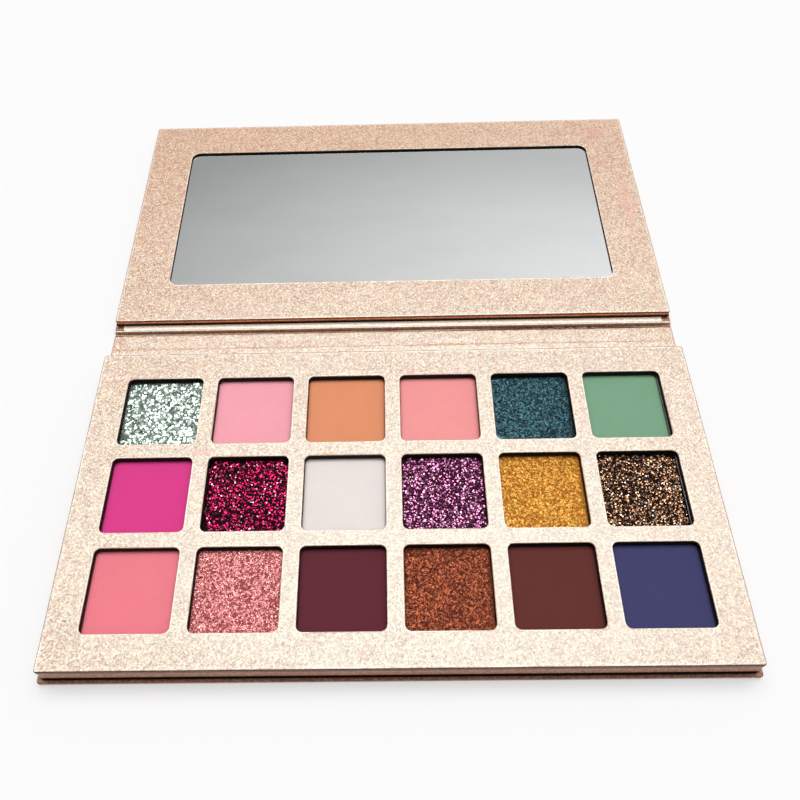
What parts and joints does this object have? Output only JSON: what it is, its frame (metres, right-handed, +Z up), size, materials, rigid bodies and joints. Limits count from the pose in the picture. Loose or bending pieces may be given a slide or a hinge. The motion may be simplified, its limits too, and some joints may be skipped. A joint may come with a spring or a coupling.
{
  "type": "eyeshadow palette",
  "caption": "Flat book-style cosmetic palette: square pressed powders in pans set in a papered card block, with a hinged lid that holds an inset mirror.",
  "frame": {"origin": "on the rest plane under the middle of the pan block", "axes": "+X to the right, +Y from the pan block to the lid as it lies open, +Z up out of the pans"},
  "size_m": [0.2186, 0.2559, 0.01],
  "materials": {
    "glitter_paper": "satin",
    "greyboard": "matte",
    "black_card": "matte",
    "black_plastic": "matte",
    "pan_metal": "satin",
    "glue": "gloss",
    "magnet_nickel": "polished",
    "mirror_glass": "polished",
    "powder_hologram_silver": "polished",
    "powder_baby_pink": "matte",
    "powder_tan_orange": "matte",
    "powder_salmon": "matte",
    "powder_dark_teal": "satin",
    "powder_mint": "matte",
    "powder_magenta": "matte",
    "powder_crimson_glitter": "gloss",
    "powder_white_pearl": "satin",
    "powder_orchid_glitter": "gloss",
    "powder_gold": "satin",
    "powder_bronze_glitter": "gloss",
    "powder_coral": "matte",
    "powder_rose_shimmer": "satin",
    "powder_wine": "matte",
    "powder_copper": "satin",
    "powder_brick": "matte",
    "powder_indigo": "matte"
  },
  "bodies": {
    "base": {"base_board": "greyboard", "base_magnets": "magnet_nickel", "block_glue_sheet": "glue", "block_wrap": "glitter_paper", "crease_base": "glitter_paper", "pan_back_1": "pan_metal", "pan_back_2": "pan_metal", "pan_back_3": "pan_metal", "pan_back_4": "pan_metal", "pan_back_5": "pan_metal", "pan_back_6": "pan_metal", "pan_carrier": "black_plastic", "pan_front_1": "pan_metal", "pan_front_2": "pan_metal", "pan_front_3": "pan_metal", "pan_front_4": "pan_metal", "pan_front_5": "pan_metal", "pan_front_6": "pan_metal", "pan_glue_dots": "glue", "pan_middle_1": "pan_metal", "pan_middle_2": "pan_metal", "pan_middle_3": "pan_metal", "pan_middle_4": "pan_metal", "pan_middle_5": "pan_metal", "pan_middle_6": "pan_metal", "powder_back_1": "powder_hologram_silver", "powder_back_2": "powder_baby_pink", "powder_back_3": "powder_tan_orange", "powder_back_4": "powder_salmon", "powder_back_5": "powder_dark_teal", "powder_back_6": "powder_mint", "powder_front_1": "powder_coral", "powder_front_2": "powder_rose_shimmer", "powder_front_3": "powder_wine", "powder_front_4": "powder_copper", "powder_front_5": "powder_brick", "powder_front_6": "powder_indigo", "powder_middle_1": "powder_magenta", "powder_middle_2": "powder_crimson_glitter", "powder_middle_3": "powder_white_pearl", "powder_middle_4": "powder_orchid_glitter", "powder_middle_5": "powder_gold", "powder_middle_6": "powder_bronze_glitter", "window_card": "black_card", "wrap_base": "glitter_paper"},
    "spine": {"spine_board": "greyboard", "spine_liner": "glitter_paper", "wrap_spine": "glitter_paper"},
    "lid": {"crease_lid": "glitter_paper", "lid_liner": "glitter_paper", "lid_board": "greyboard", "lid_glue_sheet": "glue", "wrap_lid": "glitter_paper", "lid_backing": "greyboard", "mirror_frame_card": "black_card", "mirror_frame_wrap": "glitter_paper", "mirror_tape": "glue", "mirror": "mirror_glass", "lid_magnets": "magnet_nickel"}
  },
  "joints": [
    {"name": "spine_fold", "type": "hinge", "parent": "base", "child": "spine", "pos_m": [0, 0.0596, 0], "axis": [1, 0, 0], "range_deg": [0, 90]},
    {"name": "lid_fold", "type": "hinge", "parent": "spine", "child": "lid", "pos_m": [0, 0.0745, 0], "axis": [1, 0, 0], "range_deg": [0, 90]}
  ]
}
